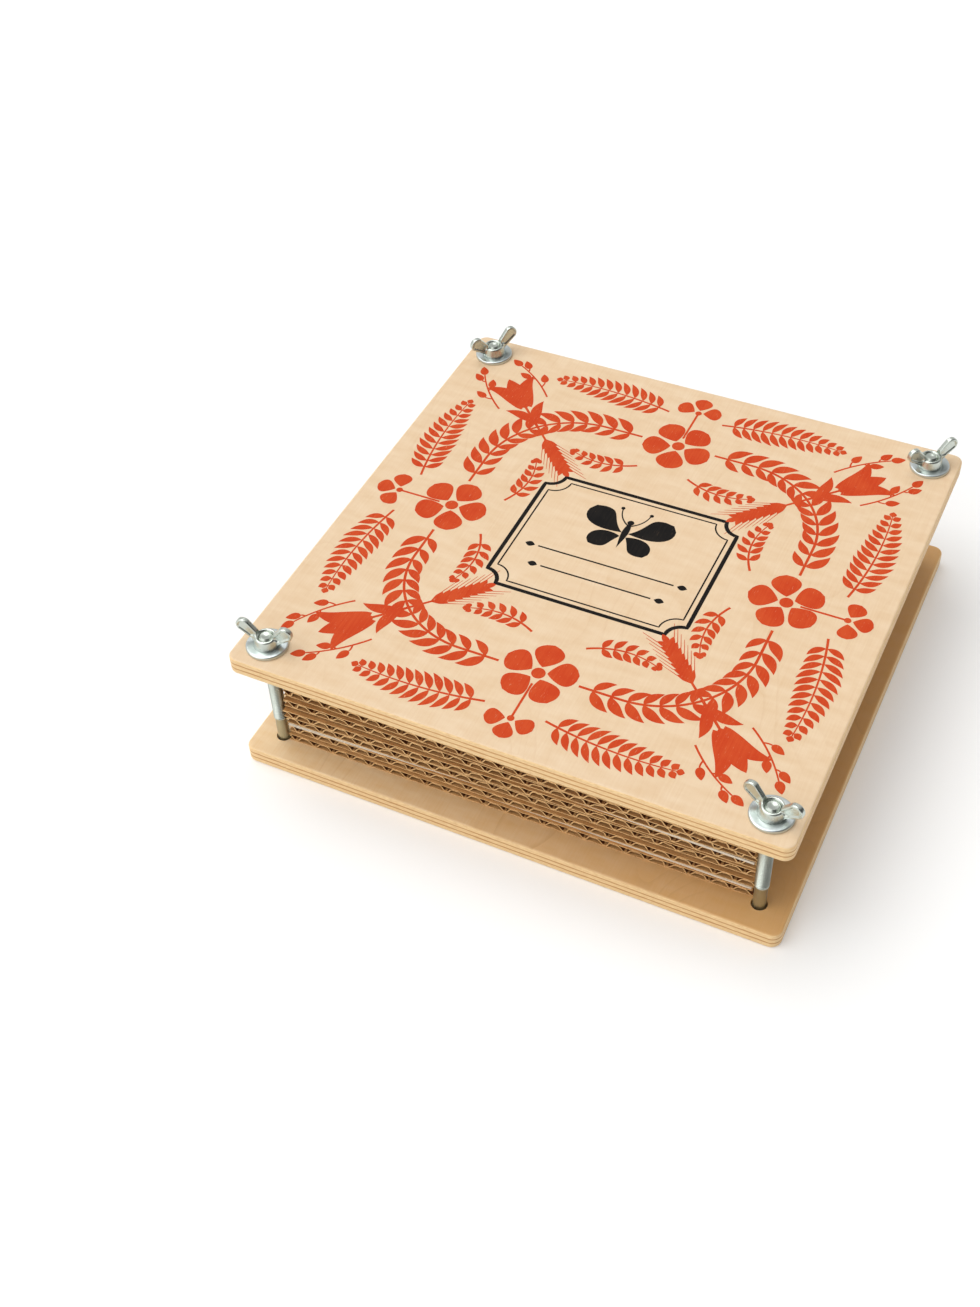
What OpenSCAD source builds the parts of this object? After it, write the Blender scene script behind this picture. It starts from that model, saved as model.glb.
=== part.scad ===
// Flower press: two plywood boards on four bolts squeeze a stack of corrugated
// cardboard and blotting paper; a washer and a wing nut close each corner.
// Millimetres, +Z up. The underside of the bottom board lies on Z = 0, the front is -Y.

/* [Boards] */
// Side of the square boards
board_side = 240; // [180:5:320]
// Thickness of a board, five plies
board_t = 8; // [7:0.5:14]
// Radius of a board's corners, seen from above
board_corner_r = 4.5; // [3:0.5:11]
// Radius that the sanded edges are eased to
board_edge_r = 1; // [0.4:0.1:1.5]
// Distance from a board's edge to the axis of a bolt
bolt_inset = 12.6; // [11:0.2:18]

/* [Stack] */
// Number of corrugated sheets in the stack
card_count = 9; // [2:1:12]
// Gap between the bolts and the sides of a corrugated sheet, which fits between them
card_bolt_gap = 0.75; // [0.6:0.05:4]
// Thickness of a corrugated sheet over both liners
card_t = 4; // [3:0.1:6]
// Thickness of the flat liners
liner_t = 0.45; // [0.25:0.05:0.5]
// Thickness of the fluted wall between the liners
flute_wall = 0.6; // [0.3:0.05:0.7]
// Distance from one flute to the next
flute_pitch = 8.9; // [7:0.1:12]
// Sheets of blotting paper between two corrugated sheets
papers_per_gap = 2; // [1:1:3]
// How far a sheet of blotting paper is smaller than a corrugated sheet on each side
paper_inset = 0.7; // [0.5:0.1:6]
// Thickness of a sheet of blotting paper
paper_t = 0.7; // [0.3:0.05:0.8]
// How far the front edge of the stack lies behind the axes of the front bolts
stack_setback = 0.3; // [0:0.1:2]
// Largest turn of a corrugated sheet about the middle of its front edge, in degrees
card_turn = 1.5; // [0:0.1:1.6]
// Largest turn of a blotting paper about the middle of its front edge, in degrees
paper_turn = 1.4; // [0:0.1:2.4]
// Largest slip of a loosely laid sheet to one side
side_slip = 0.2; // [0:0.05:0.25]
// Largest slip of a corrugated sheet to the front or back
front_slip = 1; // [0:0.1:1.2]
// Largest distance by which the papers of a gap lie behind the front of the stack
paper_setback = 3; // [0:0.1:3.4]

/* [Bolts] */
// Outside diameter of the rolled thread
thread_d = 5.9; // [4.9:0.1:6]
// Diameter of the plain shank, which the rolling leaves thinner than the thread
shank_d = 5.3; // [4.5:0.1:5.8]
// Length of the plain shank that stands above the bottom board
plain_length = 12; // [4:0.5:20]
// Height of the shoulder where the thread begins
shoulder_h = 0.9; // [0.4:0.1:2]
// How far the bolt's end stands out of its wing nut
bolt_proud = 0.1; // [0.1:0.1:1.5]
// Chamfer on the bolt's end
bolt_chamfer = 0.8; // [0.4:0.1:1]
// Diameter of the low domed head
head_d = 13; // [11:0.5:15]
// Height of the head over its dome
head_h = 2.6; // [2:0.1:3]
// Height of the head's straight rim
head_rim_h = 0.8; // [0.4:0.1:1.2]
// Side of the square neck that stops the bolt turning
neck_side = 6; // [5.5:0.1:6.4]
// Length of the square neck
neck_h = 2.4; // [1.5:0.1:2.8]

/* [Washers] */
// Outside diameter of a washer
washer_d = 17.5; // [14:0.5:20]
// Thickness of a washer
washer_t = 1.6; // [1:0.1:2.5]
// Radius of the stamped edge on a washer's upper side
washer_edge_r = 0.6; // [0.2:0.1:0.8]

/* [Wing nuts] */
// Diameter of the hub where it bears on the washer
hub_base_d = 11; // [10:0.5:13]
// Diameter of the hub at its top
hub_top_d = 9; // [9:0.2:10]
// Height of the hub
hub_h = 4.3; // [4:0.1:5]
// Radius of the hub's rounded top edge
hub_edge_r = 0.6; // [0.3:0.1:0.8]
// Chamfer round the thread at both ends of the hub
bore_chamfer = 0.7; // [0.3:0.1:0.8]
// Span over the tips of both wings
wing_span = 25; // [22:0.5:28]
// Height of the wings above the washer
wing_h = 11.2; // [11:0.2:14]
// Radius of a wing's round tip
wing_tip_r = 3.3; // [2.5:0.1:3.5]
// Radius of a wing's root, inside the hub
wing_root_r = 2.4; // [1.8:0.1:2.6]
// Height of the root's centre above the washer
wing_root_h = 3.2; // [2.8:0.1:3.6]
// Distance from the nut's axis to the root's centre
wing_root_out = 4.2; // [3.8:0.1:4.6]
// Thickness of a wing over its rims
wing_t = 2.4; // [2:0.1:3]
// Width of the raised rim round a wing
wing_rim_w = 1; // [0.5:0.1:1.1]
// Depth of the hollow inside the rim
wing_hollow = 0.5; // [0.2:0.1:0.7]

/* [Fits] */
// Play between a thread and the round holes of the boards, on the radius
hole_gap = 0.4; // [0.3:0.1:0.8]
// Play between a thread and its washer, on the radius
washer_gap = 0.25; // [0.1:0.05:0.4]
// Play between the thread and its wing nut, on the radius
thread_gap = 0.08; // [0.05:0.01:0.1]
// Play between a square neck and its socket, on each side
neck_gap = 0.05; // [0.05:0.05:0.2]
// Play round a head in its counterbore, on the radius
head_gap = 0.5; // [0.3:0.1:0.8]
// How deep a head lies above the underside of the board
head_sink = 0.4; // [0.2:0.1:0.8]
// Air between two sheets that lie on each other
sheet_gap = 0.01; // [0.01:0.01:0.05]

/* [Hidden] */
$fn = 48;
// Overrun of every cut past the face it leaves
cut_over = 0.5;

// The four corners, as shares of the distance from the middle to a bolt
corner_names = ["front_left", "front_right", "back_left", "back_right"];
corner_x_shares = [-1, 1, -1, 1];
corner_y_shares = [-1, -1, 1, 1];
// Where each wing nut came to rest, in degrees
nut_turns = [5.1, -12.2, 55.2, 48.7];

// How the loose sheets lie, as shares of their largest turns, slips and setback
card_turn_shares = [0.56, 0.55, 0.77, 1, 0.6, -0.07, 0.35, 0.6, 0.48];
card_side_shares = [-0.3, 0.4, -0.5, 0.2, 0.6, -0.2, 0.5, -0.4, 0.1];
card_front_shares = [-0.17, 0.23, 0.69, -0.17, 0.11, -0.53, 0.2, -0.3, 0.1];
paper_turn_shares = [0.2, 1, 0.5, 0.14, 0.55, 0.15, 0.4, 0.3];
paper_side_shares = [0.3, -1, 0.2, -0.3, 0.5, -0.2, 0.4, 0];
paper_setback_shares = [0.4, 0.3, 1, 0.38, 0.87, 0.97, 0.83, 1];
// How far each paper of a gap is turned back from the one below it
paper_stagger_share = 0.04;
// Where each sheet was cut from the corrugated web, as a share of the pitch
flute_phase_shares = [0.21, 0.36, 0.64, 0.39, 0.36, 0.11, 0.3, 0.75, 0.5];
// Half of one arch of the fluting, along the middle of its wall: reach as shares of
// the pitch, rise as shares of the tunnel's height
arch_reach_shares = [0.405, 0.29, 0.225, 0.17, 0.1];
arch_rise_shares = [0, 0.36, 0.64, 0.87, 1];
// Half of the slanted wall, measured along the pitch, as a share of its thickness
half_wall_share = 0.6;
// Where the hollow of a wing begins, as a share of the way from its root to its tip
hollow_start_share = 0.35;

paper_count = (card_count - 1) * papers_per_gap;
gap_t = papers_per_gap * (paper_t + sheet_gap) + sheet_gap;
stack_h = card_count * card_t + (card_count - 1) * gap_t + 2 * sheet_gap;
top_board_z = board_t + stack_h;
washer_z = top_board_z + board_t;
nut_z = washer_z + washer_t;
bolt_reach = board_side / 2 - bolt_inset;
head_z = head_sink;
neck_z = head_z + head_h;
bolt_end_z = nut_z + hub_h + bolt_proud;
thread_z = board_t + plain_length;
hole_d = thread_d + 2 * hole_gap;
card_side = 2 * (bolt_reach - thread_d / 2 - card_bolt_gap);
paper_side = card_side - 2 * paper_inset;
stack_front_y = stack_setback - bolt_reach;
dome_h = head_h - head_rim_h;
dome_r = (dome_h * dome_h + head_d * head_d / 4) / (2 * dome_h);
flute_h = card_t - 2 * liner_t - flute_wall;
wing_tip = [wing_span / 2 - wing_tip_r, wing_h - wing_tip_r];
wing_root = [wing_root_out, wing_root_h];

// Colours as the eye sees them
pale_birch = "#ecd2a6";
warm_birch = "#d9ae74";
zinc = "#c3cac6";
kraft = "#c08f57";
white_blotter = "#ece8dd";

function pick(list, i) = list[i % len(list)];
function on_circle(centre, r, angle) = centre + r * [cos(angle), sin(angle)];

// Stands children on the axis of bolt number c
module at_bolt(c) {
    translate([corner_x_shares[c] * bolt_reach, corner_y_shares[c] * bolt_reach, 0])
        children();
}

// Cross-section of a board: a bar with four eased edges, centred on X
module board_section(width) {
    inner = width - 2 * board_edge_r;
    translate([-inner / 2, 0]) square([inner, board_t]);
    translate([-width / 2, board_edge_r]) square([width, board_t - 2 * board_edge_r]);
    for (side = [-1, 1], z = [board_edge_r, board_t - board_edge_r])
        translate([side * inner / 2, z]) circle(r = board_edge_r, $fn = 24);
}

// One arm of the board's plate, running along Y between the round corners
module board_arm() {
    run = board_side - 2 * board_corner_r;
    translate([0, run / 2, 0])
        rotate([90, 0, 0]) linear_extrude(run) board_section(board_side);
}

module board_corner() {
    rotate_extrude() intersection() {
        board_section(2 * board_corner_r);
        square([board_corner_r, board_t]);
    }
}

// A plywood plate with round corners and eased edges, its underside on Z = 0
module board_plate() {
    corner = board_side / 2 - board_corner_r;
    board_arm();
    rotate([0, 0, 90]) board_arm();
    for (x = [-corner, corner], y = [-corner, corner])
        translate([x, y, 0]) board_corner();
}

module clearance_hole() {
    translate([0, 0, -cut_over])
        cylinder(d = hole_d, h = board_t + 2 * cut_over);
}

// From below: a counterbore for the head and a square socket for the neck,
// then a round hole with play up to the face that carries the stack
module bolt_seat() {
    socket = neck_side + 2 * neck_gap;
    translate([0, 0, -cut_over])
        cylinder(r = head_d / 2 + head_gap, h = neck_z + cut_over);
    translate([-socket / 2, -socket / 2, 0])
        cube([socket, socket, neck_z + neck_h]);
    translate([0, 0, neck_z + neck_h])
        cylinder(d = hole_d, h = board_t);
}

module bottom_board() {
    color(warm_birch) difference() {
        board_plate();
        for (c = [0 : 3]) at_bolt(c) bolt_seat();
    }
}

module top_board() {
    color(pale_birch) translate([0, 0, top_board_z]) difference() {
        board_plate();
        for (c = [0 : 3]) at_bolt(c) clearance_hole();
    }
}

// A cup head below, a square neck, a plain shank and a thicker thread with a chamfered end
module bolt(c) {
    thread_r = thread_d / 2;
    shank_r = shank_d / 2;
    color(zinc) at_bolt(c) {
        intersection() {
            translate([0, 0, head_z + dome_r]) sphere(r = dome_r, $fn = 96);
            translate([0, 0, head_z]) cylinder(d = head_d, h = head_h);
        }
        translate([-neck_side / 2, -neck_side / 2, neck_z])
            cube([neck_side, neck_side, neck_h]);
        rotate_extrude() polygon([
            [0, neck_z],
            [shank_r, neck_z],
            [shank_r, thread_z],
            [thread_r, thread_z + shoulder_h],
            [thread_r, bolt_end_z - bolt_chamfer],
            [thread_r - bolt_chamfer, bolt_end_z],
            [0, bolt_end_z]
        ]);
    }
}

// A flat ring whose upper outer edge is rolled over by the stamping
module washer(c) {
    hole_r = thread_d / 2 + washer_gap;
    width = washer_d / 2 - hole_r;
    color(zinc) at_bolt(c) translate([0, 0, washer_z])
        rotate_extrude() translate([hole_r, 0]) {
            square([width, washer_t - washer_edge_r]);
            square([width - washer_edge_r, washer_t]);
            translate([width - washer_edge_r, washer_t - washer_edge_r])
                circle(r = washer_edge_r, $fn = 24);
        }
}

// Two circles joined by their outer tangents
module round_bar(p, p_r, q, q_r) {
    along = atan2(q[1] - p[1], q[0] - p[0]);
    spread = acos((p_r - q_r) / norm(q - p));
    translate(p) circle(r = p_r);
    translate(q) circle(r = q_r);
    polygon([
        on_circle(p, p_r, along + spread),
        on_circle(q, q_r, along + spread),
        on_circle(q, q_r, along - spread),
        on_circle(p, p_r, along - spread)
    ]);
}

// A wing leans out from the hub; a rim stands up round the hollow on each face
module wing() {
    hollow_root = wing_root + hollow_start_share * (wing_tip - wing_root);
    rotate([90, 0, 0]) difference() {
        translate([0, 0, -wing_t / 2])
            linear_extrude(wing_t) round_bar(wing_root, wing_root_r, wing_tip, wing_tip_r);
        for (face = [-1, 1])
            translate([0, 0, face * wing_t / 2 - wing_hollow])
                linear_extrude(2 * wing_hollow)
                    round_bar(hollow_root, wing_root_r - wing_rim_w, wing_tip, wing_tip_r - wing_rim_w);
    }
}

module hub() {
    top_r = hub_top_d / 2;
    rotate_extrude() {
        polygon([
            [0, 0],
            [hub_base_d / 2, 0],
            [top_r, hub_h - hub_edge_r],
            [top_r - hub_edge_r, hub_h],
            [0, hub_h]
        ]);
        translate([top_r - hub_edge_r, hub_h - hub_edge_r]) circle(r = hub_edge_r, $fn = 24);
    }
}

module nut_bore() {
    bore_r = thread_d / 2 + thread_gap;
    wide_r = bore_r + bore_chamfer;
    top = wing_h + cut_over;
    rotate_extrude() polygon([
        [0, -cut_over],
        [wide_r, -cut_over],
        [wide_r, 0],
        [bore_r, bore_chamfer],
        [bore_r, hub_h - bore_chamfer],
        [wide_r, hub_h],
        [wide_r, top],
        [0, top]
    ]);
}

module wing_nut(c) {
    color(zinc) at_bolt(c) translate([0, 0, nut_z]) rotate([0, 0, nut_turns[c]])
        difference() {
            union() {
                hub();
                wing();
                rotate([0, 0, 180]) wing();
            }
            nut_bore();
        }
}

// Lays children, whose front edge is centred on the origin, among the sheets of the stack
module laid(slip, setback, z, turn) {
    translate([slip, stack_front_y + setback, z]) rotate([0, 0, turn]) children();
}

// The tunnel under one arch of the fluting, its foot in the middle of the X axis
module flute_tunnel() {
    half_wall = half_wall_share * flute_wall;
    left = [for (k = [0 : len(arch_reach_shares) - 1])
        [half_wall - arch_reach_shares[k] * flute_pitch, arch_rise_shares[k] * flute_h]];
    right = [for (k = [len(left) - 1 : -1 : 0]) [-left[k][0], left[k][1]]];
    polygon(concat(left, right));
}

// End view of a corrugated sheet: two liners and the fluted wall, with the tunnels open
module corrugated_section(phase_share) {
    flutes = ceil(card_side / flute_pitch / 2) + 1;
    difference() {
        translate([-card_side / 2, 0]) square([card_side, card_t]);
        for (k = [-flutes : flutes]) translate([(k + phase_share) * flute_pitch, 0]) {
            translate([0, liner_t]) flute_tunnel();
            translate([flute_pitch / 2, card_t - liner_t]) mirror([0, 1]) flute_tunnel();
        }
    }
}

function card_z(i) = board_t + sheet_gap + (i - 1) * (card_t + gap_t);
function paper_z(gap, layer) = card_z(gap + 1) + card_t + sheet_gap + layer * (paper_t + sheet_gap);

// Sheet number i from the bottom: a square of corrugated board, its tunnels run front to back
module cardboard(i) {
    k = i - 1;
    slip = side_slip * pick(card_side_shares, k);
    setback = front_slip * pick(card_front_shares, k);
    color(kraft) laid(slip, setback, card_z(i), card_turn * pick(card_turn_shares, k))
        translate([0, card_side, 0]) rotate([90, 0, 0])
            linear_extrude(card_side) corrugated_section(pick(flute_phase_shares, k));
}

// Paper number i from the bottom; the papers of one gap lie almost in line
module blotting_paper(i) {
    gap = floor((i - 1) / papers_per_gap);
    layer = (i - 1) % papers_per_gap;
    slip = side_slip * pick(paper_side_shares, gap);
    setback = paper_setback * pick(paper_setback_shares, gap);
    turn = paper_turn * (pick(paper_turn_shares, gap) - layer * paper_stagger_share);
    color(white_blotter) laid(slip, setback, paper_z(gap, layer), turn)
        translate([-paper_side / 2, 0, 0]) cube([paper_side, paper_side, paper_t]);
}

bottom_board();
top_board();
for (c = [0 : 3]) {
    bolt(c);
    washer(c);
    wing_nut(c);
}
for (i = [1 : card_count])
    cardboard(i);
for (i = [1 : paper_count])
    blotting_paper(i);
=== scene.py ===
from math import atan2, ceil, cos, degrees, hypot, inf, log, pi, radians, sin, sqrt

import bmesh
import bpy
import numpy as np
from mathutils import Matrix, Vector


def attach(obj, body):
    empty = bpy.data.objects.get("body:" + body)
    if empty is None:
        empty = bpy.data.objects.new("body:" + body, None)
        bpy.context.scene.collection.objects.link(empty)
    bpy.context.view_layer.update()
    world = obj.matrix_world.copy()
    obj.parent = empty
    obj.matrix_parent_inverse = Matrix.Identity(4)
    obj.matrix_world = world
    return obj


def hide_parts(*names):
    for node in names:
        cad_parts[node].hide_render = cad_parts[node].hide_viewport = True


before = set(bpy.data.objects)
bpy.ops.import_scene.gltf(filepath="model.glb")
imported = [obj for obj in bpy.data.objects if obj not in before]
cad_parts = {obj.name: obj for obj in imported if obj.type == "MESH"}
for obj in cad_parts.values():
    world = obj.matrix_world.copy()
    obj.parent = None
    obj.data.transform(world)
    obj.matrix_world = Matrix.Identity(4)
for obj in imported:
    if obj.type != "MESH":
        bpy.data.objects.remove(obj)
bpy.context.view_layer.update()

# ---------------- Camera
# The photograph looks down on the front right corner, a little tilted. The pose was
# fitted to the corners and edges of both boards; distances are in board sides.
board_side = 0.240
turn_round, look_down, tilt = (radians(a) for a in (27.7341, 46.2985, -2.9687))
shift_right, shift_up, distance = 0.2281, -0.0023, 3.1045
focal_px, photo_height_px, film_height_mm, farthest = 1639.7655, 1307, 36, 20


def put(name, held):
    """A new object in the scene that holds a camera, a lamp or a mesh."""
    item = bpy.data.objects.new(name, held)
    bpy.context.collection.objects.link(item)
    return item


towards = Vector((sin(turn_round) * cos(look_down),
                  -cos(turn_round) * cos(look_down), sin(look_down)))
level_right = (-towards).cross(Vector((0, 0, 1))).normalized()
level_up = level_right.cross(-towards)
right = cos(tilt) * level_right + sin(tilt) * level_up
up = -sin(tilt) * level_right + cos(tilt) * level_up
eye = -(right * shift_right + up * shift_up - towards * distance) * board_side

view = bpy.data.cameras.new("photo view")
view.sensor_fit = "VERTICAL"
view.sensor_height = film_height_mm
view.lens = focal_px / photo_height_px * film_height_mm
view.clip_end = farthest
camera = put("photo view", view)
camera.matrix_world = Matrix.Translation(eye) @ Matrix((right, up, towards)).transposed().to_4x4()
bpy.context.scene.camera = camera
bpy.context.scene.view_settings.view_transform = "Standard"


# ---------------- Floor and light
# A white sweep in soft daylight from the upper left, with a broad fill from the front
# left. The floor keeps the shadow, and camera and mirror rays see it as white paper.
paper_white, floor_half, floor_glow = "#f4f4f3", 2.0, 0.12
sky_light, sky_mirrored, dark_card = 0.46, 0.62, 0.03
card_way, card_from, card_full = (0.9, -0.35, -0.1), 0.1, 0.6
lamps = (("key light", 1.61, radians(56), Vector((-0.36, 0.03, 0.92))),
         ("fill light", 0.90, radians(70), Vector((-0.55, -0.8, 0.5))))


def srgb(code):
    """An sRGB colour such as #ecd2a6 as a linear colour with alpha."""
    shares = [int(code[i:i + 2], 16) / 255 for i in (1, 3, 5)]
    return tuple(s / 12.92 if s <= 0.04045 else ((s + 0.055) / 1.055) ** 2.4
                 for s in shares) + (1,)


def add(tree, kind, inputs=(), operation=None, **settings):
    """Adds a node; a kind without a family is a shader node.

    The open inputs come by name, or in a row from the first one on. Each is a number, a
    hex colour, a socket, a node that gives its first open output, or a list of these.
    """
    node = tree.nodes.new(kind if "Node" in kind else "ShaderNode" + kind)
    if operation:
        node.operation = operation
    for name, value in settings.items():
        setattr(node, name, value)
    sockets = [socket for socket in node.inputs if socket.enabled]
    if isinstance(inputs, dict):
        named = {socket.name: socket for socket in sockets[::-1]}
        sockets, inputs = [named[name] for name in inputs], inputs.values()
    for socket, values in zip(sockets, inputs):
        for value in values if isinstance(values, list) else [values]:
            if isinstance(value, bpy.types.Node):
                value = next(output for output in value.outputs if output.enabled)
            if isinstance(value, bpy.types.NodeSocket):
                tree.links.new(value, socket)
            else:
                socket.default_value = srgb(value) if isinstance(value, str) else value
    return node


def bare_tree(owner):
    """The node tree of a material or a world, emptied."""
    owner.use_nodes = True
    owner.node_tree.nodes.clear()
    return owner.node_tree


sweep = bpy.data.meshes.new("white sweep")
sweep.from_pydata([(x * floor_half, y * floor_half, 0)
                   for x, y in ((-1, -1), (1, -1), (1, 1), (-1, 1))], [], [(0, 1, 2, 3)])
floor = put("white_sweep", sweep)

mat = bpy.data.materials.new("white paper sweep")
tree = bare_tree(mat)
rays = add(tree, "LightPath").outputs
seen = add(tree, "Math", (rays["Is Camera Ray"], rays["Is Glossy Ray"]), "ADD")
seen = add(tree, "Math", (seen, rays["Is Transmission Ray"]), "ADD")
glow = add(tree, "Math", (seen, floor_glow), "MULTIPLY")
paper = add(tree, "BsdfPrincipled", {
    "Base Color": paper_white, "Roughness": 0.9, "Specular IOR Level": 0.2,
    "Emission Color": "#ffffff", "Emission Strength": glow})
add(tree, "OutputMaterial", {"Surface": paper})
sweep.materials.append(mat)

# Metal mirrors a bright sky with one dark card on the right; the eye sees it as white
bpy.context.scene.world = bpy.data.worlds.new("studio")
tree = bare_tree(bpy.context.scene.world)
rays = add(tree, "LightPath").outputs
aside = add(tree, "VectorMath", (add(tree, "TexCoord").outputs["Generated"], card_way),
            "DOT_PRODUCT")
card = add(tree, "MapRange", (aside, card_from, card_full, sky_mirrored, dark_card),
           interpolation_type="SMOOTHSTEP")
strength = add(tree, "Mix", (rays["Is Glossy Ray"], sky_light, card))
strength = add(tree, "Mix", (rays["Is Camera Ray"], strength, 1.0))
sky = add(tree, "Background", {"Color": "#ffffff", "Strength": strength})
add(tree, "OutputWorld", {"Surface": sky})

for name, strength, spread, source in lamps:
    lamp = bpy.data.lights.new(name, "SUN")
    lamp.energy = strength
    lamp.angle = spread
    put(name, lamp).rotation_euler = source.to_track_quat("Z", "Y").to_euler()


# ---------------- Boards
# Two boards of birch plywood, sawn square, the corners rounded and the edges sanded.
# Three thick plies run front to back; the thin cross plies between show as dark lines.
# Each board: the height of its underside in mm, its pale and warm tones, how much painted shade
# darkens its right side, and the depth of its rings
boards = (("bottom_board", 0.0, "#f3d8b0", "#e8c28c", 0.8, 0.45),
          ("top_board", 55.46, "#edd3b1", "#e2c198", 0.0, 0.14))
# The first colour is painted shade for the bottom board's right side, partly the wood's own warmer
# tone; then late wood, the sawn edge and the cross plies
shaded_warm_wood, late_wood, sawn_wood, cross_ply = "#dba35c", "#c99a63", "#f9d8a1", "#c98f50"
board_t_mm, board_half_mm, shaded_side_curve = 8.0, 120, 1.4
usual_noise, fibrous = (0.3, 0.7), (3.0, 0.6)
peel_mm, peel_swirl, peel_aside, ring_count = (70, 260, inf), (2.5, 0.42, 0.35), 7, 34
ring_rise = ((0, 0), (0.8, 0.12), (0.96, 0.9), (1, 1))
patch_mm, patch_shows = 60, (0.42, 0.68)
fibre_mm, fibre_share, fibre_relief = (0.7, 26, 1), 0.36, (0.12, 0.06)
curl_mm, curl_slant, curl_share = (14, 5, 1), radians(28), 0.6
cross_plies = ((0.325, 0.35, 0.405, 0.425), (0.645, 0.67, 0.725, 0.745))
ragged_mm, ragged_by = (9, 9, 1), 0.3
streak_mm, streak_shows, streak_share = (2.5, 7, 0.35), (0.35, 0.75), 0.55
face_upright, wood_roughness = (0.6, 0.9), (0.44, 0.6)


def new_material(name, low_mm=0):
    """A material with an empty tree, and the point on the object in millimetres."""
    material = bpy.data.materials.new(name)
    tree = bare_tree(material)
    mm = add(tree, "Mapping", {"Vector": add(tree, "TexCoord").outputs["Object"],
                               "Location": (0, 0, -low_mm), "Scale": (1000, 1000, 1000)})
    return material, tree, mm


def grain(mm, size, detail=2.0, roughness=0.5, distortion=0.0, slant=0.0, shift=(0, 0, 0)):
    """A cloudy pattern whose grains are so many millimetres wide, long and thick."""
    tree = mm.id_data
    size = size if isinstance(size, tuple) else (size,) * 3
    place = add(tree, "Mapping", {"Vector": mm, "Location": shift, "Rotation": (0, 0, slant),
                                  "Scale": tuple(1 / s for s in size)})
    return add(tree, "TexNoise", {"Vector": place, "Scale": 1.0, "Detail": detail,
                                  "Roughness": roughness, "Distortion": distortion})


def coloured(ramp, stops):
    """Gives a colour ramp its stops: a place from 0 to 1, and a hex colour or a grey."""
    stops = [(place, srgb(tone) if isinstance(tone, str) else (tone, tone, tone, 1))
             for place, tone in stops]
    ends = ramp.color_ramp.elements
    ends[0].color, ends[1].color = stops[0][1], stops[-1][1]
    for place, colour in stops[1:-1]:
        ends.new(place).color = colour
    return ramp


def surfaced(material, looks, height, strength, depth_mm):
    """Ends a material: a shader with these looks, over a relief from this height."""
    tree = material.node_tree
    relief = add(tree, "Bump", {"Height": height, "Strength": strength,
                                "Distance": depth_mm / 1000})
    shader = add(tree, "BsdfPrincipled", {**looks, "Normal": relief})
    add(tree, "OutputMaterial", {"Surface": shader})
    return material


def birch_plywood(name, low_mm, pale, warm, shaded_side_share, ring_depth):
    """Rotary-cut birch: cream wood with faint arcs, fine fibres and a soft mottle; painted shade
    can darken its right side.
    """
    material, tree, mm = new_material(name, low_mm)

    # Growth rings, as the knife peeled them: contour lines of a slow wave, 3 to 12 mm apart
    wave = grain(mm, peel_mm, *peel_swirl, shift=(low_mm, peel_aside, 0))
    rings = add(tree, "Math", (wave, ring_count), "MULTIPLY")
    rings = add(tree, "Math", (rings,), "FRACT")
    rings = coloured(add(tree, "ValToRGB", (rings,)), ring_rise)
    patch = grain(mm, patch_mm, 1.0)
    shown = add(tree, "MapRange", (patch, *patch_shows, 0, ring_depth))
    ring_share = add(tree, "Math", (rings, shown), "MULTIPLY")

    # Fibres from front to back, drawn coarser than real ones so that they show, and the
    # curl: soft patches 14 mm wide and 5 mm long, at a slant to the grain
    fibre = grain(mm, fibre_mm, *fibrous)
    curl = grain(mm, curl_mm, slant=curl_slant)
    fibres = add(tree, "MapRange", (fibre, *usual_noise, 0, fibre_share))
    curled = add(tree, "MapRange", (curl, *usual_noise, 0, curl_share))
    shade = add(tree, "Math", (fibres, curled), "ADD")
    face = add(tree, "Mix", (shade, pale, warm), data_type="RGBA")

    # Painted shade, with some of the veneer's own tone: the face warms and darkens from the left to
    # the right, as the top board shades that side
    place = add(tree, "SeparateXYZ", (mm,)).outputs
    across = add(tree, "MapRange", (place["X"], -board_half_mm, board_half_mm))
    across = add(tree, "Math", (across, shaded_side_curve), "POWER")
    shaded_side = add(tree, "Math", (across, shaded_side_share), "MULTIPLY")
    for share, colour in ((shaded_side, shaded_warm_wood), (ring_share, late_wood)):
        face = add(tree, "Mix", (share, face, colour), data_type="RGBA")

    # The sawn edge: three thick pale plies with two thin darker ones between, all streaky
    ragged = add(tree, "MapRange", (grain(mm, ragged_mm), 0, 1, -ragged_by, ragged_by))
    level = add(tree, "Math", (place["Z"], ragged), "ADD")
    level = add(tree, "Math", (level, board_t_mm), "DIVIDE")
    stops = [stop for shares in cross_plies
             for stop in zip(shares, (sawn_wood, cross_ply, cross_ply, sawn_wood))]
    plies = coloured(add(tree, "ValToRGB", (level,)), [(0, sawn_wood), *stops, (1, sawn_wood)])
    streak = grain(mm, streak_mm, *fibrous)
    streaked = add(tree, "MapRange", (streak, *streak_shows, 0, streak_share))
    side = add(tree, "Mix", (streaked, plies, cross_ply), data_type="RGBA")
    normal = add(tree, "SeparateXYZ", (add(tree, "NewGeometry").outputs["Normal"],))
    upright = add(tree, "Math", (normal.outputs["Z"],), "ABSOLUTE")
    is_face = add(tree, "MapRange", (upright, *face_upright), interpolation_type="SMOOTHSTEP")
    wood = add(tree, "Mix", (is_face, side, face), data_type="RGBA")
    rough = add(tree, "MapRange", (fibre, 0, 1, *wood_roughness))
    return surfaced(material, {"Base Color": wood, "Roughness": rough}, fibre, *fibre_relief)


for node, *finish in boards:
    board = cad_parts[node]
    board.data.materials.clear()
    board.data.materials.append(birch_plywood("birch plywood, " + node, *finish))


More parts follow.
